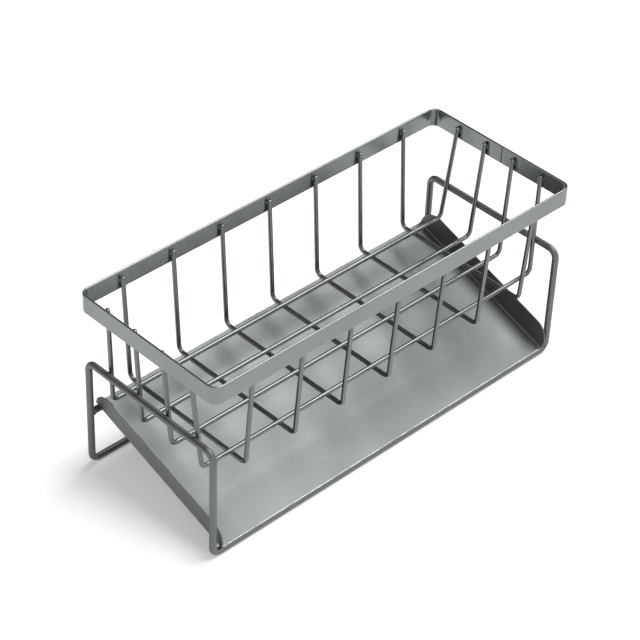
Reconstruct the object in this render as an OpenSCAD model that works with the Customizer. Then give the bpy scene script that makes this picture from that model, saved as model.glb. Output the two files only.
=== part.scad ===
// Wire caddy for the kitchen sink with a sloping drip tray under the basket.
// The frame stands at the centre of its footprint on the floor: +X runs along
// the length, -Y is the front where the tray drains, +Z is up.
// The basket is welded from U-shaped wires inside a flat strip rim, the legs
// are one closed loop of thicker wire, and the tray lies loose on two bars.

/* [Basket rim] */
// Outside length of the strip rim
rim_length = 300; // [240:1:380]
// Outside depth of the strip rim, front to back
rim_depth = 120; // [112:1:150]
// Height of the rim's top edge above the floor
rim_top = 133.5; // [125:0.5:170]
// Height of the flat strip
strip_height = 13; // [8:0.5:16]
// Thickness of the flat strip
strip_thickness = 1.5; // [1:0.1:2.5]
// Outside radius of the rim's four corners
rim_corner_radius = 6.5; // [4:0.5:16]
// Distance of the strip's butt seam from the middle of the right end
seam_offset = 2.2; // [0:0.1:8]
// Width of the groove left along the ground seam
seam_width = 0.5; // [0.2:0.05:1]
// Depth of the groove left along the ground seam
seam_depth = 0.15; // [0.05:0.05:0.3]

/* [Basket wires] */
// Diameter of the basket's wire
wire_dia = 3; // [2.4:0.1:3.4]
// Height of the long floor wires' centre line above the floor
long_wire_z = 58; // [56:0.5:66]
// Distance of the outer long wires from the rim's outside long faces
long_wire_inset = 19.7; // [18:0.1:30]
// The same distance at the long wires' tips, which lean in towards the middle
long_tip_inset = 23.8; // [20:0.1:34]
// Distance of the outer cross wires from the rim's outside end faces
cross_wire_inset = 31.8; // [20:0.1:40]
// Inward lean of the end walls, from the rim's inside face to the floor wires
end_wall_inset = 5.5; // [4:0.5:10]
// Inward lean of the long walls, from the rim's inside face to the floor wires
side_wall_inset = 5; // [3:0.5:8]
// Bend radius of the basket's wires, at the centre line
wire_bend_radius = 4.5; // [3:0.5:10]
// Distance of the wires' tips below the rim's top edge
tip_drop = 3.7; // [2:0.1:6]
// The same distance at the left end of the rear long wire, which stands higher
left_tip_drop = 0.4; // [0.3:0.1:6]
// How much lower each next long wire's left tip stands, towards the front
left_tip_step = 1.1; // [0:0.1:1.5]
// Chamfer on the cut tips of the wires
tip_chamfer = 0.4; // [0.2:0.05:0.6]
// How far two welded wires sink into each other
weld_sink = 0.3; // [0.1:0.05:0.5]
// Extra diameter of a bend over the straight runs that end inside it
bend_swell = 0.02; // [0.01:0.005:0.05]
// How far a straight run reaches into a bend
bend_lap = 0.2; // [0.1:0.05:0.3]

/* [Leg frame] */
// Diameter of the leg frame's wire
leg_dia = 4.5; // [4:0.1:5]
// Height of the end top bars' centre line above the floor
end_bar_z = 81; // [76:0.5:90]
// Distance between the two floor bars' centre lines
leg_depth = 112; // [108:1:116]
// Bend radius of the leg frame's corners, at the centre line
leg_bend_radius = 6; // [4:0.5:6]
// Height of the rest bar's centre line above the floor
rest_bar_z = 41; // [36:0.1:43.5]
// Length of the weld fillet seen at each end of the rest bar
fillet_length = 1.2; // [0.5:0.1:3]
// How far that fillet stands out round the rest bar
fillet_height = 0.5; // [0.2:0.05:0.8]

/* [Drip tray] */
// Thickness of the tray's sheet
sheet = 0.8; // [0.5:0.1:1.2]
// Height of the side flanges, measured square to the tray
flange_height = 16; // [10:0.5:17]
// How far a side flange leans out from its fold to its top edge
flange_lean = 1.5; // [0.5:0.1:3]
// Radius of the flanges' rounded front and rear corners
flange_corner_radius = 13; // [4:0.5:14]
// Inside radius of the folds
fold_radius = 1.2; // [0.6:0.1:2]
// How far the tray's front edge reaches past the front floor bar's centre line
front_overhang = 0.5; // [0.3:0.1:1]
// How far the tray's rear edge reaches past the rest bar's centre line
rear_overhang = 2.5; // [0.5:0.1:4]
// Gap between the tray and the two bars that carry it
seat_gap = 0.3; // [0.2:0.05:0.5]
// Gap between a flange's top edge and the posts beside it
side_gap = 1.5; // [0.3:0.1:3]

/* [Hidden] */

cross_wire_count = 7;
long_wire_count = 4;

// Facets round a full circle
round_facets = 48;
// Overrun of every cut, so that no cut ends on a face
cut_overrun = 1;

wire_r = wire_dia / 2;
leg_r = leg_dia / 2;

// Rim
rim_inner_x = rim_length / 2 - strip_thickness;
rim_inner_y = rim_depth / 2 - strip_thickness;
rim_inner_radius = rim_corner_radius - strip_thickness;

// Basket wires: the long wires lie on top of the cross wires
tip_z = rim_top - tip_drop;
left_tip_z = rim_top - left_tip_drop;
cross_wire_z = long_wire_z - wire_dia + weld_sink;
tip_x = rim_inner_x - wire_r + weld_sink;
tip_y = rim_inner_y - wire_r + weld_sink;
long_pitch = (rim_depth - 2 * long_wire_inset) / (long_wire_count - 1);
long_tip_pitch = (rim_depth - 2 * long_tip_inset) / (long_wire_count - 1);
cross_pitch = (rim_length - 2 * cross_wire_inset) / (cross_wire_count - 1);
long_corner_x = tip_x - end_wall_inset;
cross_corner_y = tip_y - side_wall_inset;

// Leg frame: its end top bars are welded to the outside of the end walls
end_wall_lean = atan2(end_wall_inset, tip_z - long_wire_z);
end_wall_x = long_corner_x + (end_bar_z - long_wire_z) * tan(end_wall_lean);
leg_x = end_wall_x + (wire_r + leg_r - weld_sink) / cos(end_wall_lean);
leg_y = leg_depth / 2;
floor_bar_z = leg_r + bend_swell / 2;

// The tray's slope follows the front floor bar and the rest bar
bar_run = leg_depth;
bar_rise = rest_bar_z - floor_bar_z;
tray_slope = atan2(bar_rise, bar_run);
tray_length = norm([bar_run, bar_rise]) + front_overhang + rear_overhang;
tray_lift = leg_r + seat_gap;
flange_top_x = leg_x - leg_r - side_gap;
flange_angle = asin(flange_lean / flange_height);
fold_x = flange_top_x - flange_lean - sheet * (1 - cos(flange_angle));

// Vector helpers
function unit(v) = v / norm(v);
function turn_between(u, v) = acos(max(-1, min(1, u * v)));

// Straight round rod from one point to another, its far end chamfered if asked
module rod(from, to, d, chamfer = 0) {
    run = to - from;
    straight = norm(run) - chamfer;
    translate(from)
        rotate([0, acos(run.z / norm(run)), atan2(run.y, run.x)]) {
            cylinder(h = straight, d = d, $fn = round_facets);
            if (chamfer > 0)
                translate([0, 0, straight])
                    cylinder(h = chamfer, d1 = d, d2 = d - 2 * chamfer, $fn = round_facets);
        }
}

// Length of straight wire that a bend takes up on each side of its corner
function bend_setback(before, corner, after, bend_r) =
    bend_r * tan(turn_between(unit(corner - before), unit(after - corner)) / 2);

// Where a straight run towards a corner ends, a lap inside the corner's bend
function run_end(before, corner, after, bend_r) =
    corner - unit(corner - before) * (bend_setback(before, corner, after, bend_r) - bend_lap);

// Round bend at a corner: part of a torus that takes in the ends of two rods
module bend(before, corner, after, bend_r, d) {
    in_dir = unit(corner - before);
    out_dir = unit(after - corner);
    start = corner - in_dir * bend_setback(before, corner, after, bend_r);
    axis = unit(cross(in_dir, out_dir));
    inward = cross(axis, in_dir);
    centre = start + inward * bend_r;
    multmatrix([
        [-inward.x, in_dir.x, axis.x, centre.x],
        [-inward.y, in_dir.y, axis.y, centre.y],
        [-inward.z, in_dir.z, axis.z, centre.z],
        [0, 0, 0, 1]])
        rotate_extrude(angle = turn_between(in_dir, out_dir), $fn = round_facets)
            translate([bend_r, 0])
                circle(d = d + bend_swell, $fn = round_facets);
}

// Open U of wire along X: a floor, two bends, and two walls that lean out to
// their chamfered tips
module u_wire(corner_x, floor_z, wall_tip_x, left_wall_tip_z, right_wall_tip_z) {
    left_tip = [-wall_tip_x, 0, left_wall_tip_z];
    left = [-corner_x, 0, floor_z];
    right = [corner_x, 0, floor_z];
    right_tip = [wall_tip_x, 0, right_wall_tip_z];
    radius = wire_bend_radius;
    rod(run_end(right, left, left_tip, radius), run_end(left, right, right_tip, radius), wire_dia);
    bend(left_tip, left, right, radius, wire_dia);
    bend(left, right, right_tip, radius, wire_dia);
    rod(run_end(left_tip, left, right, radius), left_tip, wire_dia, tip_chamfer);
    rod(run_end(right_tip, right, left, radius), right_tip, wire_dia, tip_chamfer);
}

// Closed loop of wire through the given corners, bent at each of them
module closed_wire(points, bend_r, d) {
    count = len(points);
    for (i = [0 : count - 1]) {
        before = points[(i + count - 1) % count];
        corner = points[i];
        after = points[(i + 1) % count];
        beyond = points[(i + 2) % count];
        bend(before, corner, after, bend_r, d);
        rod(run_end(after, corner, before, bend_r), run_end(corner, after, beyond, bend_r), d);
    }
}

// Rectangle with round corners, centred on the origin
module rounded_rectangle(length, depth, radius) {
    square([length - 2 * radius, depth], center = true);
    square([length, depth - 2 * radius], center = true);
    for (sx = [-1, 1], sy = [-1, 1])
        translate([sx * (length / 2 - radius), sy * (depth / 2 - radius)])
            circle(r = radius, $fn = round_facets);
}

// Flat strip bent round into the basket's mouth, with its ground butt seam
module top_rim() {
    color("slategray")
        difference() {
            translate([0, 0, rim_top - strip_height])
                linear_extrude(strip_height)
                    difference() {
                        rounded_rectangle(rim_length, rim_depth, rim_corner_radius);
                        rounded_rectangle(2 * rim_inner_x, 2 * rim_inner_y, rim_inner_radius);
                    }
            translate([rim_inner_x - cut_overrun, -seam_offset - seam_width / 2,
                    rim_top - strip_height - cut_overrun])
                cube([cut_overrun + seam_depth, seam_width, strip_height + 2 * cut_overrun]);
        }
}

// Wire across the basket, from the rear rim down, under the long wires and up
module cross_wire(i) {
    x = (i - (cross_wire_count + 1) / 2) * cross_pitch;
    color("dimgray")
        translate([x, 0, 0])
            rotate([0, 0, 90])
                u_wire(cross_corner_y, cross_wire_z, tip_y, tip_z, tip_z);
}

// Wire along the basket, counted from the rear, laid on the cross wires. It is
// turned a little about its floor run, so that its tips lean towards the middle.
module long_wire(i) {
    steps_from_middle = (long_wire_count + 1) / 2 - i;
    lean_in = steps_from_middle * (long_pitch - long_tip_pitch);
    left_rise = left_tip_z - (i - 1) * left_tip_step - long_wire_z;
    color("dimgray")
        translate([0, steps_from_middle * long_pitch, long_wire_z])
            rotate([asin(lean_in / (tip_z - long_wire_z)), 0, 0])
                u_wire(long_corner_x, 0, tip_x, left_rise, tip_z - long_wire_z);
}

// Legs: one wire bent into two floor bars, four posts and two end top bars
module leg_frame() {
    color("dimgray")
        closed_wire([
            [-leg_x, -leg_y, floor_bar_z],
            [leg_x, -leg_y, floor_bar_z],
            [leg_x, -leg_y, end_bar_z],
            [leg_x, leg_y, end_bar_z],
            [leg_x, leg_y, floor_bar_z],
            [-leg_x, leg_y, floor_bar_z],
            [-leg_x, leg_y, end_bar_z],
            [-leg_x, -leg_y, end_bar_z]], leg_bend_radius, leg_dia);
}

// Straight bar welded between the rear posts, where the tray's rear edge lies.
// A cone at each end is the weld's fillet, and the bar ends inside it.
module tray_rest_bar() {
    cone_end_x = leg_x - leg_r + weld_sink;
    bar_end_x = cone_end_x - fillet_length / 2;
    color("dimgray") {
        rod([-bar_end_x, leg_y, rest_bar_z], [bar_end_x, leg_y, rest_bar_z], leg_dia);
        for (side = [0, 1])
            mirror([side, 0, 0])
                translate([cone_end_x - 2 * fillet_length, leg_y, rest_bar_z])
                    rotate([0, 90, 0])
                        cylinder(h = 2 * fillet_length, d1 = leg_dia - 2 * fillet_height,
                            d2 = leg_dia + 2 * fillet_height, $fn = round_facets);
    }
}

// Quarter ring of the fold between the tray's floor and a flange
module fold_outline() {
    outer = fold_radius + sheet;
    turn = 90 - flange_angle;
    intersection() {
        difference() {
            circle(r = outer, $fn = round_facets);
            circle(r = fold_radius, $fn = round_facets);
        }
        polygon([
            [0, 0],
            [0, -2 * outer],
            [2 * outer, -2 * outer],
            [2 * outer * sin(turn), -2 * outer * cos(turn)]]);
    }
}

// Cross-section of the tray's right half, floor underside on the X axis
module half_tray_outline() {
    outer = fold_radius + sheet;
    turn = 90 - flange_angle;
    fold_centre_x = fold_x - outer * tan(turn / 2);
    flange_run = (flange_height - outer * (1 + sin(flange_angle))) / cos(flange_angle);
    square([fold_centre_x, sheet]);
    translate([fold_centre_x, outer]) {
        fold_outline();
        rotate(-flange_angle)
            translate([fold_radius, 0])
                square([sheet, flange_run + outer * tan(flange_angle)]);
    }
}

// Side view of the tray: the flanges' four corners are round at the top
module tray_side_outline() {
    top = flange_height + cut_overrun;
    radius = flange_corner_radius;
    difference() {
        translate([-cut_overrun, -cut_overrun])
            square([tray_length + 2 * cut_overrun, top + cut_overrun]);
        for (side = [0, 1])
            translate([side * tray_length, 0])
                mirror([side, 0])
                    difference() {
                        translate([-2 * cut_overrun, flange_height - radius])
                            square([radius + 2 * cut_overrun, radius + 2 * cut_overrun]);
                        translate([radius, flange_height - radius])
                            circle(r = radius, $fn = round_facets);
                    }
    }
}

// Folded sheet tray, laid on the front floor bar and the rest bar
module drip_tray() {
    color("darkgray")
        translate([0, -leg_y, floor_bar_z])
            rotate([tray_slope, 0, 0])
                translate([0, -front_overhang, tray_lift])
                    intersection() {
                        rotate([90, 0, 0])
                            translate([0, 0, -tray_length])
                                linear_extrude(tray_length) {
                                    half_tray_outline();
                                    mirror([1, 0]) half_tray_outline();
                                }
                        rotate([90, 0, 90])
                            translate([0, 0, -leg_x])
                                linear_extrude(2 * leg_x)
                                    tray_side_outline();
                    }
}

top_rim();
for (i = [1 : cross_wire_count])
    cross_wire(i);
for (i = [1 : long_wire_count])
    long_wire(i);
leg_frame();
tray_rest_bar();
drip_tray();
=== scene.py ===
# %% [markdown]
# # A kitchen storage rack in grey enamel
#
# The rack is a wire basket in a flat strip rim. It stands on legs bent from
# one thicker wire, and a folded sheet tray slopes under the basket to drain
# forward. Every part is steel under the same dark grey enamel, so this
# lesson is about two things: clean round wire, and one paint that looks
# different on strip, wire and sheet.
#
# The construction is already solved in the frame that loads below. We build
# the skin: each piece sits exactly where its solid is, with the round edges,
# weld metal and enamel that a plain solid doesn't have.

# %% Load the frame
import random
from math import asin, atan2, cos, degrees, pi, radians, sin, sqrt, tan

import bpy
from mathutils import Matrix, Quaternion, Vector


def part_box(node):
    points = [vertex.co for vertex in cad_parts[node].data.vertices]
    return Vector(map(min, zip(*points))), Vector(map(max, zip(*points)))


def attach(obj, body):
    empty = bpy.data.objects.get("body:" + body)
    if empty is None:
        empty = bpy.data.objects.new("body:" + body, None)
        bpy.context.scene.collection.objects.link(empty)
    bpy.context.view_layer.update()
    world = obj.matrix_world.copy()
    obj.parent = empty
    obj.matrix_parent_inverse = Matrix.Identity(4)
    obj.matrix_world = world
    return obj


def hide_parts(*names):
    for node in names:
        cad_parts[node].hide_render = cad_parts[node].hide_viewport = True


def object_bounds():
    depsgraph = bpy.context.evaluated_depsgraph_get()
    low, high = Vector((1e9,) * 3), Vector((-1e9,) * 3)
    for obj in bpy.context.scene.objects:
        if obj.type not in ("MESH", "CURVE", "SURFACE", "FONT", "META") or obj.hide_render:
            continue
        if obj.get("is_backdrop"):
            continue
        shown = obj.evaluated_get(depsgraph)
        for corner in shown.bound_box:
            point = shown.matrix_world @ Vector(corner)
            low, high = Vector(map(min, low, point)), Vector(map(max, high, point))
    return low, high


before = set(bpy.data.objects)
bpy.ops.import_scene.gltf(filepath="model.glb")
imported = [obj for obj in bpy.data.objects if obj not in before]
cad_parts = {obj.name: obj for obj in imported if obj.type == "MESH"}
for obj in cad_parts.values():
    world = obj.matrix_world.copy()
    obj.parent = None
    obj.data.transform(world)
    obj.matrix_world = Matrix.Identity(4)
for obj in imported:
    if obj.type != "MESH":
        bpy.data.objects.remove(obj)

CAD_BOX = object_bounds()

# %% [markdown]
# ## Read the sizes off the frame
#
# A scene that repeats every size by hand falls apart as soon as the model
# changes. Here the boxes of the solids give most of it: the rim's box is its
# outline, a cross wire's box gives its place and its lowest run, and the leg
# loop's box gives its posts and bars. Only what a box can't show, such as a
# thickness or a bend radius, is a named value.

# %% Sizes in metres
MM = 0.001


def box_of(node):
    """Lowest and highest corner of a solid, as two vectors."""
    low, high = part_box(node)
    return Vector(low), Vector(high)


RIM_LOW, RIM_HIGH = box_of("top_rim")
STRIP_THICKNESS = 1.5 * MM
RIM_CORNER_RADIUS = 6.5 * MM
WIRE_RADIUS = 1.5 * MM
LEG_RADIUS = 2.25 * MM
WELD_SINK = 0.3 * MM
WIRE_BEND_RADIUS = 4.5 * MM
LEG_BEND_RADIUS = 6 * MM
print("rim, mm:", [round(v / MM, 1) for v in RIM_HIGH - RIM_LOW])

# %% [markdown]
# ## Meshes from rings
#
# Wire, strip and sheet are all one section carried along a path. Blender can
# do that with a curve and a bevel, but then the ends stay square and we lose
# control of where the vertices are. A few lines that join rings of points
# give the same tube, and they let each vertex carry a number called edge.
# The enamel reads it later: paint draws back from an edge as it flows.

# %% Collect faces into one piece


class Metalwork:
    """Points, faces and edge values of one piece, gathered before it is made."""

    def __init__(self):
        self.points = []
        self.edges = []
        self.faces = []

    def ring(self, points, edge=0.0):
        """Add a ring of points, all with one edge value or with a list of them."""
        first = len(self.points)
        self.points += points
        self.edges += edge if isinstance(edge, list) else [edge] * len(points)
        return list(range(first, first + len(points)))

    def join(self, one, other, closed=True):
        """Fill the band between two rings with four-sided faces."""
        count = len(one)
        for k in range(count if closed else count - 1):
            after = (k + 1) % count
            self.faces.append((one[k], one[after], other[after], other[k]))

    def cap(self, ring, centre, edge=0.0, facing_on=True):
        """Close a ring with triangles to a centre point."""
        middle = self.ring([centre], edge)[0]
        for k in range(len(ring)):
            after = (k + 1) % len(ring)
            face = (ring[k], ring[after], middle)
            self.faces.append(face if facing_on else face[::-1])

    def make(self, name, body, material, nodes=()):
        """Make the object, put it on its body and let it stand for its solids."""
        mesh = bpy.data.meshes.new(name)
        mesh.from_pydata([tuple(p) for p in self.points], [], self.faces)
        mesh.attributes.new("edge", "FLOAT", "POINT").data.foreach_set("value", self.edges)
        mesh.polygons.foreach_set("use_smooth", [True] * len(mesh.polygons))
        mesh.validate()
        mesh.materials.append(material)
        piece = bpy.data.objects.new(name, mesh)
        bpy.context.scene.collection.objects.link(piece)
        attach(piece, body)
        if nodes:
            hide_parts(*nodes)
        return piece


print("a piece of metalwork can:", [name for name in vars(Metalwork) if name[0] != "_"])

# %% [markdown]
# ## A bent wire
#
# A wire former bends straight stock round a pin, so a wire is straight runs
# joined by arcs of one radius. The path below works that out from the corner
# points. Each arc gets an extra point a little before and after it: smooth
# shading averages the faces that meet at a point, and without these guards
# the highlight of a long straight run would swim near every bend.

# %% Paths with round bends
BEND_STEPS = 12
GUARD = 0.4 * MM


def bent_path(corners, bend_radius, closed=False):
    """Points along straight runs between corners, with a round bend at each."""
    path = []
    for i, corner in enumerate(corners):
        if not closed and i in (0, len(corners) - 1):
            path.append(corner)
            continue
        into = (corner - corners[i - 1]).normalized()
        out = (corners[(i + 1) % len(corners)] - corner).normalized()
        turn = into.angle(out)
        start = corner - into * bend_radius * tan(turn / 2)
        end = corner + out * bend_radius * tan(turn / 2)
        centre = corner + (out - into).normalized() * bend_radius / cos(turn / 2)
        axis = into.cross(out).normalized()
        path.append(start - into * GUARD)
        for k in range(BEND_STEPS + 1):
            path.append(centre + Quaternion(axis, turn * k / BEND_STEPS) @ (start - centre))
        path.append(end + out * GUARD)
    return path


def frames_along(path, closed):
    """For each point of a path, its direction and a side direction that never twists."""
    count = len(path)
    along = []
    for i in range(count):
        before = path[i - 1] if closed or i > 0 else path[i]
        after = path[(i + 1) % count] if closed or i < count - 1 else path[i]
        into = path[i] - before
        out = after - path[i]
        along.append((into.normalized() + out.normalized()).normalized())
    side = along[0].orthogonal().normalized()
    sides = [side]
    for i in range(1, count):
        side = along[i - 1].rotation_difference(along[i]) @ side
        sides.append(side)
    return along, sides


print("points in a bend:", BEND_STEPS + 3)

# %% [markdown]
# ## Tubes and cut ends
#
# A ring of twenty-four points is round enough at any distance that this
# object is seen from. On a loop the last ring has turned a little against
# the first, so the turn is shared out over the whole loop. Cut ends get a
# small chamfer, which catches the light where a sharp end would stay dead.

# %% The tube builder
TUBE_SIDES = 24
TIP_CHAMFER = 0.4 * MM
CHAMFER_FOOT_EDGE = 0.6
CHAMFER_TOP_EDGE = 1.0
CUT_FACE_EDGE = 0.3


def circle_round(centre, along, side, radius):
    """Points of a circle square to a direction."""
    across = along.cross(side)
    turns = [2 * pi * k / TUBE_SIDES for k in range(TUBE_SIDES)]
    return [centre + radius * (cos(t) * side + sin(t) * across) for t in turns]


def add_tube(work, path, radius, closed=False):
    """Add a round wire along a path, with chamfered ends unless it is a loop."""
    along, sides = frames_along(path, closed)
    if closed:
        last = along[-1].rotation_difference(along[0]) @ sides[-1]
        drift = atan2(last.cross(sides[0]).dot(along[0]), last.dot(sides[0]))
        sides = [Quaternion(a, drift * i / len(path)) @ s
                 for i, (a, s) in enumerate(zip(along, sides))]
    else:
        start = path[0] + along[0] * TIP_CHAMFER
        end = path[-1] - along[-1] * TIP_CHAMFER
        path = [start, start + along[0] * GUARD] + path[1:-1] + [end - along[-1] * GUARD, end]
        along = [along[0]] * 2 + along[1:-1] + [along[-1]] * 2
        sides = [sides[0]] * 2 + sides[1:-1] + [sides[-1]] * 2
    rings = []
    for i, (p, a, s) in enumerate(zip(path, along, sides)):
        at_tip = not closed and i in (0, len(path) - 1)
        rings.append(work.ring(circle_round(p, a, s, radius), CHAMFER_FOOT_EDGE if at_tip else 0.0))
    for one, other in zip(rings, rings[1:]):
        work.join(one, other)
    if closed:
        work.join(rings[-1], rings[0])
        return
    for ring, p, a, s, way in ((rings[0], path[0], along[0], sides[0], -1),
                               (rings[-1], path[-1], along[-1], sides[-1], 1)):
        tip = p + way * a * TIP_CHAMFER
        top = work.ring(circle_round(tip, a, s, radius - TIP_CHAMFER), CHAMFER_TOP_EDGE)
        if way > 0:
            work.join(ring, top)
        else:
            work.join(top, ring)
        work.cap(top, tip, CUT_FACE_EDGE, facing_on=way > 0)


print("sides of a tube:", TUBE_SIDES, "chamfer, mm:", TIP_CHAMFER / MM)

# %% [markdown]
# ## Enamel as node groups
#
# The same stove enamel covers everything, so its effects are shader node
# groups, built once and placed in each material with other values. The first
# is the skin itself: cured enamel is never a mirror, it has a fine orange
# peel and a slow drift in tone where it went on thicker or thinner. The
# group hands out a height for the bump, and masks for the grain and the drift.

# %% A group with named sockets


def effect_group(name, inputs, outputs):
    """An empty shader node group with float inputs and the given outputs."""
    tree = bpy.data.node_groups.new(name, "ShaderNodeTree")
    for label, value in inputs.items():
        socket = tree.interface.new_socket(label, in_out="INPUT", socket_type="NodeSocketFloat")
        socket.default_value = value
    for label in outputs:
        tree.interface.new_socket(label, in_out="OUTPUT", socket_type="NodeSocketFloat")
    return tree, tree.nodes.new("NodeGroupInput"), tree.nodes.new("NodeGroupOutput")


def noise_in(tree, scale, detail, roughness=0.5):
    """A noise on object coordinates, whose scale comes from a socket."""
    place = tree.nodes.new("ShaderNodeTexCoord")
    noise = tree.nodes.new("ShaderNodeTexNoise")
    noise.inputs["Detail"].default_value = detail
    noise.inputs["Roughness"].default_value = roughness
    tree.links.new(place.outputs["Object"], noise.inputs["Vector"])
    tree.links.new(scale, noise.inputs["Scale"])
    return noise.outputs["Fac"]


def ranged(tree, value, low, high, to_low=0.0, to_high=1.0):
    """Stretch a value from one range to another, held at its ends."""
    node = tree.nodes.new("ShaderNodeMapRange")
    node.interpolation_type = "SMOOTHSTEP"
    tree.links.new(value, node.inputs["Value"])
    settings = {"From Min": low, "From Max": high, "To Min": to_low, "To Max": to_high}
    for label, setting in settings.items():
        node.inputs[label].default_value = setting
    return node.outputs["Result"]


def worked(tree, operation, one, other):
    """A math node on two sockets or numbers."""
    node = tree.nodes.new("ShaderNodeMath")
    node.operation = operation
    for socket, value in zip(node.inputs, (one, other)):
        if isinstance(value, (int, float)):
            socket.default_value = value
        else:
            tree.links.new(value, socket)
    return node.outputs["Value"]


print("node helpers:", [f.__name__ for f in (effect_group, noise_in, ranged, worked)])

# %% The enamel's skin


def build_enamel_skin():
    """Orange peel, fine grain and slow drift of a stoved enamel."""
    tree, given, out = effect_group(
        "enamel_skin",
        {"Peel Scale": 420.0, "Grain Scale": 2600.0, "Drift Scale": 14.0, "Grain Share": 0.4},
        ["Height", "Grain", "Drift"])
    peel = noise_in(tree, given.outputs["Peel Scale"], detail=2.0)
    grain = noise_in(tree, given.outputs["Grain Scale"], detail=3.0, roughness=0.6)
    drift = noise_in(tree, given.outputs["Drift Scale"], detail=3.0)
    fine = worked(tree, "MULTIPLY", grain, given.outputs["Grain Share"])
    tree.links.new(worked(tree, "ADD", peel, fine), out.inputs["Height"])
    tree.links.new(ranged(tree, grain, low=0.35, high=0.65), out.inputs["Grain"])
    tree.links.new(ranged(tree, drift, low=0.3, high=0.7), out.inputs["Drift"])
    return tree


ENAMEL_SKIN = build_enamel_skin()
print("skin outputs:", [s.name for s in ENAMEL_SKIN.interface.items_tree if s.in_out == "OUTPUT"])

# %% [markdown]
# The second effect is the thin edge. Wet enamel draws back from a corner, so
# a sharp edge of strip or sheet cures thinner, and it is the first place to
# be rubbed bright by hands and dishes. The edge value on the vertices says
# where, and a noise breaks the line up, because wear is never even. On the
# tray the same mask also paints a highlight line, through the near-white
# edge colour given there.

# %% Thin enamel along edges
LEAST_WEAR = 0.35


def build_thin_edge():
    """Mask of the places where the enamel is thin, broken up by a noise."""
    tree, given, out = effect_group(
        "thin_edge", {"Amount": 1.0, "Break Scale": 260.0}, ["Mask"])
    on_edge = tree.nodes.new("ShaderNodeAttribute")
    on_edge.attribute_name = "edge"
    breaks = noise_in(tree, given.outputs["Break Scale"], detail=2.0)
    patches = ranged(tree, breaks, low=0.3, high=0.7, to_low=LEAST_WEAR)
    thin = ranged(tree, on_edge.outputs["Fac"], low=0.15, high=0.95)
    broken = worked(tree, "MULTIPLY", thin, patches)
    tree.links.new(worked(tree, "MULTIPLY", broken, given.outputs["Amount"]), out.inputs["Mask"])
    return tree


THIN_EDGE = build_thin_edge()
print("thin edge nodes:", len(THIN_EDGE.nodes))

# %% [markdown]
# The last shared effect is what use leaves on the upper side: a faint haze of
# dried water and dust. It gathers on faces that look up and is stronger where
# a noise says that drops stood. It only lifts the roughness and the tone a
# little, because this rack is nearly new.

# %% Dried haze on faces that look up


def build_dried_haze():
    """Mask of faint haze, on faces that look up and in soft patches."""
    tree, given, out = effect_group(
        "dried_haze", {"Amount": 1.0, "Patch Scale": 55.0}, ["Mask"])
    shape = tree.nodes.new("ShaderNodeNewGeometry")
    parts = tree.nodes.new("ShaderNodeSeparateXYZ")
    tree.links.new(shape.outputs["Normal"], parts.inputs["Vector"])
    upward = ranged(tree, parts.outputs["Z"], low=0.3, high=1.0)
    drops = noise_in(tree, given.outputs["Patch Scale"], detail=4.0, roughness=0.6)
    patches = ranged(tree, drops, low=0.42, high=0.72)
    settled = worked(tree, "MULTIPLY", upward, patches)
    tree.links.new(worked(tree, "MULTIPLY", settled, given.outputs["Amount"]), out.inputs["Mask"])
    return tree


DRIED_HAZE = build_dried_haze()
print("dried haze nodes:", len(DRIED_HAZE.nodes))

# %% [markdown]
# ## One enamel, four finishes
#
# Grey enamel full of metal flake is nearer to metal than to plain paint, so
# Metallic is high: the colour then comes mostly from what it mirrors, and the
# broad softness comes from Roughness. The function below places the three
# groups and mixes their masks into colour, roughness and bump. What differs
# between strip, wire, legs and sheet is only the numbers: the thin basket wire
# is the glossiest, and the tray's big flat face the dullest.

# %% Place a group and mix two colours


def placed(tree, group, **values):
    """Place a node group in a material with its own values."""
    node = tree.nodes.new("ShaderNodeGroup")
    node.node_tree = group
    for label, value in values.items():
        node.inputs[label.replace("_", " ")].default_value = value
    return node.outputs


def mixed(tree, mask, one, other):
    """Mix two colours, each a socket or red, green and blue, by a mask."""
    node = tree.nodes.new("ShaderNodeMix")
    node.data_type = "RGBA"
    tree.links.new(mask, node.inputs["Factor"])
    for label, value in (("A", one), ("B", other)):
        socket = next(s for s in node.inputs if s.name == label and s.type == "RGBA")
        if isinstance(value, tuple):
            socket.default_value = (*value, 1.0)
        else:
            tree.links.new(value, socket)
    return next(s for s in node.outputs if s.type == "RGBA")


print("colour helpers:", [f.__name__ for f in (placed, mixed)])

# %% The enamel material
METALLIC = 0.9
GRAIN_PER_PEEL = 6
FLAKE_SHARE = 0.25
FLAKE_BRIGHTNESS = 2
HAZE_TONE = (0.42, 0.43, 0.42)
HAZE_SHARE = 0.35
SATIN_DRIFT = 0.03
HAZE_DULLING = 0.10
EDGE_POLISH = 0.08


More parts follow.
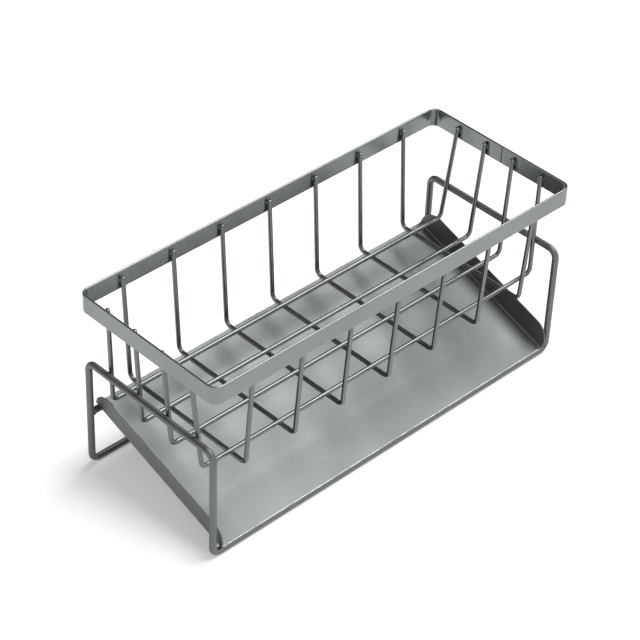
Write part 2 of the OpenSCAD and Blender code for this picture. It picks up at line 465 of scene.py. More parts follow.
def enamel(name, thin, thick, wear_and_highlight, satin, peel, peel_depth, edge_amount, haze_amount):
    """Stove enamel over steel: two tones that drift, lighter thin edges, a faint haze; a near-white
    edge colour paints a highlight.
    """
    material = bpy.data.materials.new(name)
    material.use_nodes = True
    tree = material.node_tree
    surface = tree.nodes["Principled BSDF"]
    surface.inputs["Metallic"].default_value = METALLIC
    skin = placed(tree, ENAMEL_SKIN, Peel_Scale=peel, Grain_Scale=GRAIN_PER_PEEL * peel)
    edge = placed(tree, THIN_EDGE, Amount=edge_amount)
    haze = placed(tree, DRIED_HAZE, Amount=haze_amount)
    tone = mixed(tree, skin["Drift"], thin, thick)
    glint = tuple(FLAKE_BRIGHTNESS * c for c in thin)
    flake = mixed(tree, worked(tree, "MULTIPLY", skin["Grain"], FLAKE_SHARE), tone, glint)
    hazed = mixed(tree, worked(tree, "MULTIPLY", haze["Mask"], HAZE_SHARE), flake, HAZE_TONE)
    # The edge mix brings in worn enamel; with the tray's near-white edge colour it also paints a
    # highlight line.
    tree.links.new(mixed(tree, edge["Mask"], hazed, wear_and_highlight), surface.inputs["Base Color"])
    gloss = ranged(tree, skin["Drift"], 0.0, 1.0, satin - SATIN_DRIFT, satin + SATIN_DRIFT)
    dulled = worked(tree, "ADD", gloss, worked(tree, "MULTIPLY", haze["Mask"], HAZE_DULLING))
    rubbed = worked(tree, "SUBTRACT", dulled, worked(tree, "MULTIPLY", edge["Mask"], EDGE_POLISH))
    tree.links.new(rubbed, surface.inputs["Roughness"])
    bump = tree.nodes.new("ShaderNodeBump")
    bump.inputs["Distance"].default_value = peel_depth
    tree.links.new(skin["Height"], bump.inputs["Height"])
    tree.links.new(bump.outputs["Normal"], surface.inputs["Normal"])
    return material


print("metallic:", METALLIC, "tone of the haze:", HAZE_TONE)

# %% The four finishes
RIM_ENAMEL = enamel(
    "rim_enamel", thin=(0.215, 0.23, 0.225), thick=(0.195, 0.21, 0.206), wear_and_highlight=(0.28, 0.30, 0.295),
    satin=0.26, peel=900.0, peel_depth=0.010 * MM, edge_amount=0.3, haze_amount=0.3)
WIRE_ENAMEL = enamel(
    "wire_enamel", thin=(0.155, 0.166, 0.162), thick=(0.14, 0.151, 0.147), wear_and_highlight=(0.28, 0.30, 0.295),
    satin=0.24, peel=1100.0, peel_depth=0.008 * MM, edge_amount=0.6, haze_amount=0.3)
LEG_ENAMEL = enamel(
    "leg_enamel", thin=(0.15, 0.161, 0.157), thick=(0.135, 0.145, 0.142), wear_and_highlight=(0.25, 0.265, 0.26),
    satin=0.46, peel=900.0, peel_depth=0.010 * MM, edge_amount=0.6, haze_amount=0.3)
# The tray's near-white edge colour paints a highlight line along the floor's ends, on top of the
# worn enamel there.
TRAY_ENAMEL = enamel(
    "tray_enamel", thin=(0.155, 0.165, 0.163), thick=(0.145, 0.155, 0.153), wear_and_highlight=(0.85, 0.87, 0.86),
    satin=0.5, peel=800.0, peel_depth=0.010 * MM, edge_amount=1.0, haze_amount=0.2)
print("enamels:", [m.name for m in (RIM_ENAMEL, WIRE_ENAMEL, LEG_ENAMEL, TRAY_ENAMEL)])

# %% [markdown]
# ## The rim
#
# The rim is flat strip, bent the flat way round four corners and butt welded
# near the middle of the right end. Slit strip has rounded edges, and they
# matter more than their size suggests: seen from above they turn through every
# direction from outward to inward, so they draw the thin bright and dark lines
# that run round the basket's mouth.
#
# The section is carried round the outline by stations. Each station knows its
# point on the outside face and the direction inward, and the seam is three
# stations whose inner face sits a little deeper.

# %% The strip's section and outline
ALONG_X, ALONG_Y, UP = Vector((1, 0, 0)), Vector((0, 1, 0)), Vector((0, 0, 1))
STRIP_EDGE_RADIUS = 0.7 * MM
EDGE_STEPS = 4
CORNER_STEPS = 16
SEAM_PLACE = -2.2 * MM
SEAM_WIDTH = 0.5 * MM
SEAM_DEPTH = 0.15 * MM
# Places across the seam in seam widths, and whether the groove is cut there.
SEAM_STATIONS = ((-2.4, 0), (-1.2, 0), (-0.5, 1), (0, 1), (0.5, 1), (1.2, 0), (2.4, 0))


def strip_section(thickness, height, edge_radius):
    """Points of the strip's section as depth and height, with their edge values."""
    section = []
    corners = ((0, 0, pi), (thickness, 0, 1.5 * pi), (thickness, height, 0), (0, height, 0.5 * pi))
    for depth, level, start in corners:
        centre_depth = min(max(depth, edge_radius), thickness - edge_radius)
        centre_level = min(max(level, edge_radius), height - edge_radius)
        arc = []
        for k in range(EDGE_STEPS + 1):
            turn = start + pi / 2 * k / EDGE_STEPS
            arc.append((centre_depth + edge_radius * cos(turn),
                        centre_level + edge_radius * sin(turn), 1.0))
        guard_level = centre_level + (GUARD if level == 0 else -GUARD)
        guard = (depth, guard_level, 0.0)
        section += [guard] + arc if (depth == 0) == (level == 0) else arc + [guard]
    return section


def rim_stations():
    """Points on the rim's outside face, directions inward and depths of the groove."""
    half = (RIM_HIGH - RIM_LOW) / 2
    inset_x = half.x - RIM_CORNER_RADIUS
    inset_y = half.y - RIM_CORNER_RADIUS
    stations = []
    for offset, deep in SEAM_STATIONS:
        place = Vector((half.x, SEAM_PLACE + offset * SEAM_WIDTH, 0))
        stations.append((place, -ALONG_X, deep * SEAM_DEPTH))
    steps = [(0, -GUARD)] + [(k, 0) for k in range(CORNER_STEPS + 1)] + [(CORNER_STEPS, GUARD)]
    for quarter, (sx, sy) in enumerate(((1, 1), (-1, 1), (-1, -1), (1, -1))):
        centre = Vector((sx * inset_x, sy * inset_y, 0))
        for on_arc, past_arc in steps:
            turn = pi / 2 * (quarter + on_arc / CORNER_STEPS)
            outward = Vector((cos(turn), sin(turn), 0))
            run_on = Vector((-outward.y, outward.x, 0)) * past_arc
            stations.append((centre + outward * RIM_CORNER_RADIUS + run_on, -outward, 0))
    return stations


print("stations round the rim:", len(rim_stations()))

# %% Sweep the strip round the rim
rim = Metalwork()
SECTION = strip_section(STRIP_THICKNESS, RIM_HIGH.z - RIM_LOW.z, STRIP_EDGE_RADIUS)
rim_rings = []
for place, inward, groove in rim_stations():
    ring = []
    for depth, level, _ in SECTION:
        sunk = groove if depth > STRIP_THICKNESS / 2 else 0
        ring.append(place + inward * (depth - sunk) + UP * (RIM_LOW.z + level))
    rim_rings.append(rim.ring(ring, [edge for _, _, edge in SECTION]))
for one, other in zip(rim_rings, rim_rings[1:] + rim_rings[:1]):
    rim.join(one, other)
rim_band = rim.make("rim_band", "rack", RIM_ENAMEL, ["top_rim"])
print("rim faces:", len(rim_band.data.polygons))

# %% [markdown]
# ## The basket's wires
#
# Seven wires run across the basket and four run along it, each a U. The long
# ones lie on top of the cross ones. The rim's box gives the places of the tips,
# a cross wire's own box its place and its lowest run, and the named inset of
# the wall gives the corner where the wall meets the floor. The long wires are
# turned a little, so their tips stand closer together than their floor runs.
# They reach higher at the left end, the rear ones the most, so only some of
# the tips show over the rim.

# %% Cross wires
CROSS_COUNT = 7
CROSS_WALL_INSET = 5 * MM
TIP_DROP = 3.7 * MM


def mirrored_y(v):
    """The same point on the other side of the middle."""
    return Vector((v.x, -v.y, v.z))


def u_of_wire(name, node, tips, corners):
    """Make one U of basket wire from its two tips and its two corners."""
    work = Metalwork()
    path = bent_path([tips[0], corners[0], corners[1], tips[1]], WIRE_BEND_RADIUS)
    add_tube(work, path, WIRE_RADIUS)
    work.make(name, "rack", WIRE_ENAMEL, [node])


cross_tips, cross_corners = [], []
TIP_Y = RIM_HIGH.y - STRIP_THICKNESS - WIRE_RADIUS + WELD_SINK
TIP_Z = RIM_HIGH.z - TIP_DROP
CROSS_Z = box_of("cross_wire_1")[0].z + WIRE_RADIUS
for i in range(1, CROSS_COUNT + 1):
    low, high = box_of(f"cross_wire_{i}")
    x = (low.x + high.x) / 2
    tip = Vector((x, TIP_Y, TIP_Z))
    corner = Vector((x, TIP_Y - CROSS_WALL_INSET, CROSS_Z))
    cross_tips += [tip, mirrored_y(tip)]
    cross_corners.append(corner)
    u_of_wire(f"wire_across_{i}", f"cross_wire_{i}",
              (mirrored_y(tip), tip), (mirrored_y(corner), corner))
print("cross wires at x, mm:", [round(c.x / MM, 1) for c in cross_corners])

# %% Long wires
LONG_COUNT = 4
END_WALL_INSET = 5.5 * MM
TIP_X = RIM_HIGH.x - STRIP_THICKNESS - WIRE_RADIUS + WELD_SINK
LONG_INSET = 19.7 * MM
LONG_TIP_INSET = 23.8 * MM
LONG_Z = 58 * MM
LEFT_TIP_DROP = 0.4 * MM
LEFT_TIP_STEP = 1.1 * MM
LONG_PITCH = 2 * (RIM_HIGH.y - LONG_INSET) / (LONG_COUNT - 1)
LONG_TIP_PITCH = 2 * (RIM_HIGH.y - LONG_TIP_INSET) / (LONG_COUNT - 1)

long_wires = []
for i in range(1, LONG_COUNT + 1):
    steps_from_middle = (LONG_COUNT + 1) / 2 - i
    lean = asin(steps_from_middle * (LONG_PITCH - LONG_TIP_PITCH) / (TIP_Z - LONG_Z))
    floor_place = Vector((0, steps_from_middle * LONG_PITCH, LONG_Z))
    upright = Matrix.Rotation(lean, 3, "X")
    left_rise = RIM_HIGH.z - LEFT_TIP_DROP - (i - 1) * LEFT_TIP_STEP - LONG_Z
    left_tip = floor_place + upright @ Vector((-TIP_X, 0, left_rise))
    right_tip = floor_place + upright @ Vector((TIP_X, 0, TIP_Z - LONG_Z))
    left_corner = floor_place + Vector((END_WALL_INSET - TIP_X, 0, 0))
    right_corner = floor_place + Vector((TIP_X - END_WALL_INSET, 0, 0))
    long_wires.append((left_tip, left_corner, right_corner, right_tip))
    u_of_wire(f"wire_along_{i}", f"long_wire_{i}",
              (left_tip, right_tip), (left_corner, right_corner))
print("long wires at y, mm:", [round(w[1].y / MM, 1) for w in long_wires])

# %% [markdown]
# ## The legs
#
# One thicker wire makes both ends and both floor bars: it is bent eight times
# and closed on itself. Its end bars are welded to the outside of the end
# walls. Across the back runs the rest bar, welded between the rear posts,
# where the tray's upper edge lies.

# %% Leg loop
leg_low, leg_high = box_of("leg_frame")
LEG_X = leg_high.x - LEG_RADIUS
LEG_Y = leg_high.y - LEG_RADIUS
FLOOR_BAR_Z = leg_low.z + LEG_RADIUS
END_BAR_Z = leg_high.z - LEG_RADIUS
LEG_CORNERS = [Vector(corner) for corner in (
    (-LEG_X, -LEG_Y, FLOOR_BAR_Z), (LEG_X, -LEG_Y, FLOOR_BAR_Z),
    (LEG_X, -LEG_Y, END_BAR_Z), (LEG_X, LEG_Y, END_BAR_Z),
    (LEG_X, LEG_Y, FLOOR_BAR_Z), (-LEG_X, LEG_Y, FLOOR_BAR_Z),
    (-LEG_X, LEG_Y, END_BAR_Z), (-LEG_X, -LEG_Y, END_BAR_Z))]
legs = Metalwork()
add_tube(legs, bent_path(LEG_CORNERS, LEG_BEND_RADIUS, closed=True), LEG_RADIUS, closed=True)
legs.make("leg_loop", "rack", LEG_ENAMEL, ["leg_frame"])
print("leg loop, mm:", [round(v / MM, 1) for v in leg_high - leg_low])

# %% [markdown]
# The rest bar ends against the posts, and the weld leaves a collar of metal
# round it. A turned shape gives both: the radius stays even along the bar and
# swells in a hollow curve over the last millimetres.

# %% Rest bar with its weld collars
bar_low, bar_high = box_of("tray_rest_bar")
BAR_CENTRE = (bar_low + bar_high) / 2
COLLAR_LENGTH = 2.4 * MM
COLLAR_RADIUS = bar_high.z - BAR_CENTRE.z
COLLAR_STEPS = 6


def turned_bar(work, half_length):
    """A bar along X whose radius swells in a hollow curve at both ends."""
    profile = []
    for k in range(COLLAR_STEPS + 1):
        share = 1 - k / COLLAR_STEPS
        radius = LEG_RADIUS + (COLLAR_RADIUS - LEG_RADIUS) * share ** 2
        profile.append((half_length - COLLAR_LENGTH * (1 - share), radius))
    profile.append((half_length - COLLAR_LENGTH - GUARD, LEG_RADIUS))
    stations = [(-x, r) for x, r in profile] + [(x, r) for x, r in reversed(profile)]
    rings = []
    for x, radius in stations:
        rings.append(work.ring(circle_round(BAR_CENTRE + ALONG_X * x, ALONG_X, ALONG_Y, radius)))
    for one, other in zip(rings, rings[1:]):
        work.join(one, other)
    work.cap(rings[0], BAR_CENTRE - ALONG_X * half_length, facing_on=False)
    work.cap(rings[-1], BAR_CENTRE + ALONG_X * half_length)


rest = Metalwork()
turned_bar(rest, bar_high.x)
rest.make("rest_rod", "rack", LEG_ENAMEL, ["tray_rest_bar"])
print("rest bar, mm:", [round(v / MM, 1) for v in bar_high - bar_low])

# %% [markdown]
# ## Weld metal
#
# Where two round wires are pressed together and fused, the notch between
# them fills with a small hollow bead. It could be a ball, but a ball bulges
# where real weld metal sinks in. The function below walks round the contact
# point: in each direction it finds where the gap between the wires has opened
# to the throat of the bead, and joins the two wires there by a hollow curve.

# %% A bead in the notch of two crossed wires
BEAD_DIRECTIONS = 28
BEAD_STEPS = 5
BEAD_HOLLOW = 0.22
BEAD_ROOT = 0.55
FLOOR_THROAT = 0.65 * MM
BAR_THROAT = 0.85 * MM
HALVINGS = 24


def dip(radius, across):
    """How far a round wire's surface falls away at a distance across it."""
    return radius - sqrt(max(radius ** 2 - across ** 2, 0))


def reach_of_bead(lower_radius, upper_radius, turn, throat):
    """Distance from the contact at which the gap between the wires is the throat."""
    near, far = 0.0, min(lower_radius, upper_radius)
    for _ in range(HALVINGS):
        middle = (near + far) / 2
        dips = dip(lower_radius, middle * sin(turn)) + dip(upper_radius, middle * cos(turn))
        gap = dips - WELD_SINK
        near, far = (middle, far) if gap < throat else (near, middle)
    return (near + far) / 2


def add_bead(work, contact, up, lower_along, lower_radius, upper_radius, throat):
    """Weld bead round the contact of a lower wire and one that crosses it on top."""
    upper_along = up.cross(lower_along)
    rings = []
    for k in range(BEAD_DIRECTIONS):
        turn = 2 * pi * k / BEAD_DIRECTIONS
        outward = cos(turn) * lower_along + sin(turn) * upper_along
        reach = reach_of_bead(lower_radius, upper_radius, turn, throat)
        low = WELD_SINK / 2 - dip(lower_radius, reach * sin(turn))
        high = dip(upper_radius, reach * cos(turn)) - WELD_SINK / 2
        points = []
        for j in range(BEAD_STEPS + 1):
            s = j / BEAD_STEPS
            hollow = 4 * s * (1 - s) * BEAD_HOLLOW * throat
            points.append(contact + outward * (reach - hollow) + up * (low + (high - low) * s))
        points.append(contact + outward * reach * BEAD_ROOT + up * (low + high) / 2)
        rings.append(work.ring(points))
    for one, other in zip(rings, rings[1:] + rings[:1]):
        work.join(other, one)


reach = reach_of_bead(WIRE_RADIUS, WIRE_RADIUS, 0, FLOOR_THROAT)
print("a floor bead reaches, mm:", round(reach / MM, 2))

# %% Weld every crossing of the basket's floor
floor_welds = Metalwork()
for corner in cross_corners:
    for _, left_corner, _, _ in long_wires:
        contact = Vector((corner.x, left_corner.y, (CROSS_Z + LONG_Z) / 2))
        add_bead(floor_welds, contact, UP, ALONG_Y, WIRE_RADIUS, WIRE_RADIUS, FLOOR_THROAT)
floor_welds.make("floor_beads", "rack", WIRE_ENAMEL)
print("floor beads:", CROSS_COUNT * LONG_COUNT)

# %% Weld the end walls to the legs' end bars
bar_welds = Metalwork()
for left_tip, left_corner, right_corner, right_tip in long_wires:
    for corner, tip, side in ((left_corner, left_tip, -1), (right_corner, right_tip, 1)):
        share = (END_BAR_Z - corner.z) / (tip.z - corner.z)
        on_wall = corner.lerp(tip, share)
        outward = ALONG_X * side
        contact = on_wall + outward * (WIRE_RADIUS - WELD_SINK / 2)
        add_bead(bar_welds, contact, -outward, ALONG_Y, LEG_RADIUS, WIRE_RADIUS, BAR_THROAT)
bar_welds.make("bar_beads", "rack", LEG_ENAMEL)
print("end bar beads:", 2 * LONG_COUNT)

# %% [markdown]
# The tips are fused to the flat inside of the rim over a few millimetres, and
# there the metal squeezes out as a flat oval pad on both sides of the wire.
# An oval with its poles on the wire's line is enough, as only its two flanks
# show. A little seeded unevenness keeps the pads from looking stamped.

# %% Pads that hold the tips to the rim
PAD_HALF_WIDTH = 1.65 * MM
PAD_HALF_LENGTH = 2.6 * MM
PAD_HALF_DEPTH = 0.6 * MM
PAD_UNDER_TIP = 0.3 * MM
PAD_RINGS = 6
PAD_SIDES = 20
PAD_SEED = 11
LEAST_UNEVEN, MOST_UNEVEN = 0.02, 0.12
UNEVEN_TWIST = 7


def add_pad(work, centre, outward, along, unevenness):
    """A flat oval of weld metal on the rim's inside face."""
    across = along.cross(outward).normalized()
    rings = []
    for i in range(1, PAD_RINGS):
        polar = pi * i / PAD_RINGS
        ring = []
        for k in range(PAD_SIDES):
            turn = 2 * pi * k / PAD_SIDES
            swell = 1 + unevenness * sin(2 * turn + UNEVEN_TWIST * unevenness)
            ring.append(centre + along * PAD_HALF_LENGTH * cos(polar)
                        + across * PAD_HALF_WIDTH * swell * sin(polar) * cos(turn)
                        + outward * PAD_HALF_DEPTH * sin(polar) * sin(turn))
        rings.append(work.ring(ring))
    for one, other in zip(rings, rings[1:]):
        work.join(other, one)
    work.cap(rings[0], centre + along * PAD_HALF_LENGTH, facing_on=True)
    work.cap(rings[-1], centre - along * PAD_HALF_LENGTH, facing_on=False)


random.seed(PAD_SEED)
rim_welds = Metalwork()
wall_tips = [(tip, ALONG_Y if tip.y > 0 else -ALONG_Y) for tip in cross_tips]
for left_tip, _, _, right_tip in long_wires:
    wall_tips += [(left_tip, -ALONG_X), (right_tip, ALONG_X)]
for tip, outward in wall_tips:
    centre = tip + outward * (WIRE_RADIUS - WELD_SINK) - UP * (PAD_HALF_LENGTH + PAD_UNDER_TIP)
    add_pad(rim_welds, centre, outward, UP, random.uniform(LEAST_UNEVEN, MOST_UNEVEN))
rim_welds.make("rim_pads", "rack", WIRE_ENAMEL)
print("rim pads:", len(wall_tips))

# %% [markdown]
# ## The drip tray
#
# The tray is one sheet with its two long sides folded up. We draw it as a
# surface at the middle of the sheet: across it run the flange, the fold, the
# floor, the other fold and the other flange, and along it run the stations
# from the front edge to the rear one. Near the ends the flange gets lower,
# which rounds its corners. The sheet's two faces are offset from that middle
# surface, and a narrow rounded band closes them all the way round.

# %% Sizes of the tray
SHEET = 0.8 * MM
FLANGE_HEIGHT = 16 * MM
FLANGE_LEAN = 1.5 * MM
FLANGE_CORNER_RADIUS = 13 * MM
FOLD_RADIUS = 1.2 * MM
FRONT_OVERHANG = 0.5 * MM
REAR_OVERHANG = 2.5 * MM
SEAT_GAP = 0.3 * MM
BORDER_GUARD = GUARD / 2
tray_high = box_of("drip_tray")[1]
BAR_RISE = BAR_CENTRE.z - FLOOR_BAR_Z
BAR_RUN = 2 * LEG_Y
SLOPE = atan2(BAR_RISE, BAR_RUN)
TRAY_LENGTH = sqrt(BAR_RUN ** 2 + BAR_RISE ** 2) + FRONT_OVERHANG + REAR_OVERHANG
FLANGE_ANGLE = asin(FLANGE_LEAN / FLANGE_HEIGHT)
FOLD_X = tray_high.x - FLANGE_LEAN - SHEET * (1 - cos(FLANGE_ANGLE))
tilt = Matrix.Rotation(SLOPE, 4, "X")
TRAY_PLACE = Matrix.Translation((0, -LEG_Y, FLOOR_BAR_Z)) @ tilt @ Matrix.Translation(
    (0, -FRONT_OVERHANG, LEG_RADIUS + SEAT_GAP))
print("tray slope, degrees:", round(degrees(SLOPE), 2), "length, mm:", round(TRAY_LENGTH / MM, 2))

# %% The sheet's middle line, from the floor's middle to a flange's top
FLOOR_COLUMNS = 14
FOLD_STEPS = 8
FLANGE_STEPS = 8


def half_section(flange_top):
    """Middle line of the sheet's right half, as X, height and its upward side."""
    middle_radius = FOLD_RADIUS + SHEET / 2
    outer = FOLD_RADIUS + SHEET
    fold_turn = pi / 2 - FLANGE_ANGLE
    fold_x = FOLD_X - outer * tan(fold_turn / 2)
    points = []
    for k in range(FLOOR_COLUMNS):
        points.append((fold_x * k / FLOOR_COLUMNS, SHEET / 2, 0.0, 1.0))
    points.append((fold_x - GUARD, SHEET / 2, 0.0, 1.0))
    for k in range(FOLD_STEPS + 1):
        turn = fold_turn * k / FOLD_STEPS
        points.append((fold_x + middle_radius * sin(turn), outer - middle_radius * cos(turn),
                       -sin(turn), cos(turn)))
    x, z, nx, nz = points[-1]
    run = (flange_top - z) / cos(FLANGE_ANGLE)
    steps = [GUARD / run] + [k / FLANGE_STEPS for k in range(1, FLANGE_STEPS)]
    steps += [1 - BORDER_GUARD / run, 1]
    for share in steps:
        along = run * share
        points.append((x + along * sin(FLANGE_ANGLE), z + along * cos(FLANGE_ANGLE), nx, nz))
    return points


def flange_top_at(distance):
    """Height of the flange's top at a distance from the nearer end of the tray."""
    if distance >= FLANGE_CORNER_RADIUS:
        return FLANGE_HEIGHT
    rise = sqrt(FLANGE_CORNER_RADIUS ** 2 - (FLANGE_CORNER_RADIUS - distance) ** 2)
    return FLANGE_HEIGHT - FLANGE_CORNER_RADIUS + rise


print("points on the middle line:", len(half_section(FLANGE_HEIGHT)))

# %% Stations along the tray
ARC_STATIONS = 10
MIDDLE_STATIONS = 12
ROUND_OFF = 0.25 * MM


def tray_stations():
    """Distances along the tray, closer together where the flange's corners curve."""
    near = [ROUND_OFF, ROUND_OFF + BORDER_GUARD]
    for k in range(1, ARC_STATIONS + 1):
        on_arc = FLANGE_CORNER_RADIUS * (1 - cos(pi / 2 * k / ARC_STATIONS))
        # The arc's first step would fall inside the rounded border, so it moves on.
        near.append(on_arc + (ROUND_OFF if k == 1 else 0))
    span = TRAY_LENGTH - 2 * FLANGE_CORNER_RADIUS
    middle = [FLANGE_CORNER_RADIUS + span * k / MIDDLE_STATIONS for k in range(1, MIDDLE_STATIONS)]
    return sorted(near) + middle + [TRAY_LENGTH - s for s in reversed(sorted(near))]


def tray_rows(side):
    """Rows of points on one face of the sheet, side 1 for the upper and -1 for the lower."""
    rows = []
    for distance in tray_stations():
        top = flange_top_at(min(distance, TRAY_LENGTH - distance)) - ROUND_OFF
        right = half_section(top)
        row = []
        for x, z, nx, nz in [(-x, z, -nx, nz) for x, z, nx, nz in reversed(right[1:])] + right:
            half = side * SHEET / 2
            row.append(TRAY_PLACE @ Vector((x + nx * half, distance, z + nz * half)))
        rows.append(row)
    return rows


print("stations along the tray:", len(tray_stations()))

# %% [markdown]
# Two faces alone leave the sheet open at its border. A cut edge of sheet is
# never quite sharp, so both faces stop a little short of it, and four lines
# that bow outward join them. They follow the border of the grid, so the floor,
# the folds and the flanges are closed in one go.
#
# The edge values differ along the way: water, cloths and hands run over the
# floor's front and rear ends, so those are rubbed bright, and the flanges
# hardly are. With the tray's near-white edge colour, the full values at the
# floor's ends also paint a highlight line there.

# %% Close the sheet with a rounded band
FLANGE_EDGE = 0.2
# Each line of the band: how far out, in ROUND_OFF, and how high, in half sheets.
BAND_SHAPE = ((0.75, 0.85), (1.0, 0.5), (1.0, -0.5), (0.75, -0.85))


def border(rows):
    """The points round the outside of a grid of rows, in order."""
    front, rear = rows[0], rows[-1]
    right = [row[-1] for row in rows[1:-1]]
    left = [row[0] for row in reversed(rows[1:-1])]
    return front + right + rear[::-1] + left


def outward_at(upper, lower, k):
    """Direction out of the sheet's border at one of its points, in the sheet's plane."""
    along = (upper[(k + 1) % len(upper)] - upper[k - 1]).normalized()
    through = (upper[k] - lower[k]).normalized()
    return along.cross(through).normalized()


def rubbed_and_highlit_edges(last_row, last_column):
    """Edge values of a grid: full along the floor's ends, where they paint a highlight line, low on
    the flanges, none inside.
    """
    on_floor = [abs(c - last_column / 2) <= FLOOR_COLUMNS for c in range(last_column + 1)]
    end_row = [1.0 if floor else FLANGE_EDGE for floor in on_floor]
    middle_row = [FLANGE_EDGE] + [0.0] * (last_column - 1) + [FLANGE_EDGE]
    return [end_row] + [middle_row] * (last_row - 1) + [end_row]


upper_rows, lower_rows = tray_rows(1), tray_rows(-1)
upper_loop, lower_loop = border(upper_rows), border(lower_rows)
last_row = len(upper_rows) - 1
edge_rows = rubbed_and_highlit_edges(last_row, len(upper_rows[0]) - 1)
tray = Metalwork()
ids = {}
for face, rows in (("upper", upper_rows), ("lower", lower_rows)):
    for r, row in enumerate(rows):
        ids[face, r] = tray.ring(row, edge_rows[r])
for r in range(last_row):
    tray.join(ids["upper", r], ids["upper", r + 1], closed=False)
    tray.join(ids["lower", r + 1], ids["lower", r], closed=False)
upper_ids = border([ids["upper", r] for r in range(last_row + 1)])
lower_ids = border([ids["lower", r] for r in range(last_row + 1)])
band = [upper_ids]
for out_share, level in BAND_SHAPE:
    ring = []
    for k in range(len(upper_loop)):
        middle = (upper_loop[k] + lower_loop[k]) / 2
        through = (upper_loop[k] - lower_loop[k]) / 2
        outward = outward_at(upper_loop, lower_loop, k)
        ring.append(middle + through * level + outward * ROUND_OFF * out_share)
    band.append(tray.ring(ring, border(edge_rows)))
band.append(lower_ids)
for one, other in zip(band, band[1:]):
    tray.join(other, one)
tray_pan = tray.make("tray_pan", "tray", TRAY_ENAMEL, ["drip_tray"])
print("tray faces:", len(tray_pan.data.polygons))

# %% [markdown]
# ## Floor, light and camera
#
# The picture is a product shot on white: one large soft light stands high on
# the right, the floor and the room's lower half are pale, and the room is dark
# high up behind the object. Flaked enamel has little colour of its own, so this
# dark part matters: the tops of the cross wires mirror it and turn nearly
# black, while the long wires mirror the light in one thin bright line.
#
# The floor is plain white. A photo's white floor is brighter than white paint
# under the same light, so the floor gets a little glow that only the camera
# and the mirror-like rays see. It lights no matt surface, so the shadow stays.

# %% Floor
FLOOR_HALF_SIZE = 12.0
FLOOR_WHITE = (0.92, 0.93, 0.925)
FLOOR_GLOW = 0.3
FLOOR_GLOW_COLOUR = (1.0, 1.0, 0.98)
floor_mesh = bpy.data.meshes.new("floor")
floor_corners = [(sx * FLOOR_HALF_SIZE, sy * FLOOR_HALF_SIZE, 0)
                 for sx, sy in ((-1, -1), (1, -1), (1, 1), (-1, 1))]
floor_mesh.from_pydata(floor_corners, [], [(0, 1, 2, 3)])
floor = bpy.data.objects.new("floor", floor_mesh)
bpy.context.scene.collection.objects.link(floor)
floor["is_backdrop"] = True
floor_paint = bpy.data.materials.new("floor_white")
floor_paint.use_nodes = True
floor_surface = floor_paint.node_tree.nodes["Principled BSDF"]
floor_surface.inputs["Base Color"].default_value = (*FLOOR_WHITE, 1)
floor_surface.inputs["Roughness"].default_value = 1.0
floor_surface.inputs["Specular IOR Level"].default_value = 0.0
floor_surface.inputs["Emission Color"].default_value = (*FLOOR_GLOW_COLOUR, 1)


def seen_directly(tree):
    """Two masks: rays from the camera, and rays that metal or glass sends on."""
    rays = tree.nodes.new("ShaderNodeLightPath").outputs
    mirrored = worked(tree, "MAXIMUM", rays["Is Glossy Ray"], rays["Is Transmission Ray"])
    return rays["Is Camera Ray"], mirrored


floor_tree = floor_paint.node_tree
by_camera, by_metal = seen_directly(floor_tree)
seen = worked(floor_tree, "MAXIMUM", by_camera, by_metal)
floor_glow = worked(floor_tree, "MULTIPLY", seen, FLOOR_GLOW)
floor_tree.links.new(floor_glow, floor_surface.inputs["Emission Strength"])
floor_mesh.materials.append(floor_paint)
print("floor glow:", FLOOR_GLOW)

# %% World: pale in front and low down, dark high up at the rear
DARK_SIDE = Vector((0, 0.7, 0.71)).normalized()
DARK_BEGINS, DARK_FULL = 0.42, 0.75
PALE_LEVEL, DARK_LEVEL = 0.85, 0.1
DIFFUSE_SHARE = 0.7
WORLD_PALE = (1.0, 1.0, 0.985)
world = bpy.data.worlds.new("studio")
bpy.context.scene.world = world
world.use_nodes = True
sky = world.node_tree
background = sky.nodes["Background"]
look = sky.nodes.new("ShaderNodeTexCoord")
toward_dark = sky.nodes.new("ShaderNodeVectorMath")
toward_dark.operation = "DOT_PRODUCT"
toward_dark.inputs[1].default_value = DARK_SIDE
sky.links.new(look.outputs["Generated"], toward_dark.inputs[0])
glow = ranged(sky, toward_dark.outputs["Value"], DARK_BEGINS, DARK_FULL, PALE_LEVEL, DARK_LEVEL)
by_camera, by_metal = seen_directly(sky)
level = worked(sky, "ADD", worked(sky, "MULTIPLY", by_metal, 1 - DIFFUSE_SHARE), DIFFUSE_SHARE)
strength = worked(sky, "MAXIMUM", by_camera, worked(sky, "MULTIPLY", glow, level))
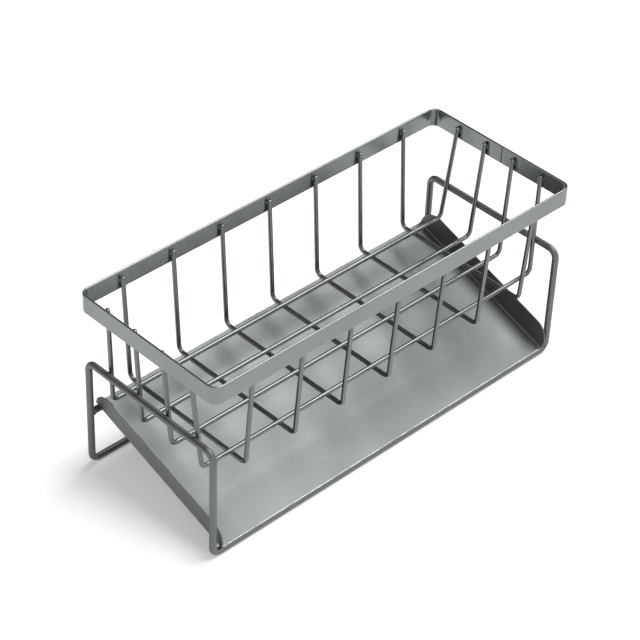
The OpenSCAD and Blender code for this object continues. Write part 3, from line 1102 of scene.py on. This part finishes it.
background.inputs["Color"].default_value = (*WORLD_PALE, 1)
sky.links.new(strength, background.inputs["Strength"])
print("sky nodes:", len(sky.nodes))

# %% One large soft light from the upper right
LIGHT_DIRECTION = Vector((0.45, -0.08, 0.89)).normalized()
LIGHT_STRENGTH = 2.3
LIGHT_SPREAD = radians(42)
lamp = bpy.data.lights.new("soft_light", "SUN")
lamp.energy = LIGHT_STRENGTH
lamp.angle = LIGHT_SPREAD
lamp_object = bpy.data.objects.new("soft_light", lamp)
lamp_object.rotation_mode = "QUATERNION"
lamp_object.rotation_quaternion = LIGHT_DIRECTION.to_track_quat("Z", "Y")
bpy.context.scene.collection.objects.link(lamp_object)
print("light from", [round(v, 2) for v in LIGHT_DIRECTION])

# %% [markdown]
# The camera stands where the photographer stood, high over the front left
# corner with a long lens. Its place and the point that it looks at come from
# matching straight lines of the rim and the wires, and it is rolled a little,
# as the photo is.

# %% Camera
SENSOR_WIDTH = 36.0
PICTURE_WIDTH = 640
FOCAL_PIXELS = 2303
camera_place = Vector((-801.3, -785.9, 961.1)) * MM
camera_target = Vector((19.25, 27.9, 42)) * MM
CAMERA_ROLL = radians(2.41)
camera_data = bpy.data.cameras.new("camera")
camera_data.sensor_width = SENSOR_WIDTH
camera_data.lens = SENSOR_WIDTH * FOCAL_PIXELS / PICTURE_WIDTH
camera = bpy.data.objects.new("camera", camera_data)
camera.location = camera_place
camera.rotation_mode = "QUATERNION"
aimed = (camera_target - camera_place).to_track_quat("-Z", "Y")
camera.rotation_quaternion = aimed @ Quaternion((0, 0, 1), CAMERA_ROLL)
bpy.context.scene.collection.objects.link(camera)
bpy.context.scene.camera = camera
bpy.context.scene.view_settings.view_transform = "Standard"
print("lens, mm:", round(camera_data.lens, 1))

# %% Sizes of the dressed part, and the end
bpy.context.view_layer.update()
boxes = {"cad": [list(corner) for corner in CAD_BOX],
         "visual": [list(corner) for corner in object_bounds()]}
for label, (low, high) in boxes.items():
    print(label, [round(v / MM, 2) for v in low], [round(v / MM, 2) for v in high])
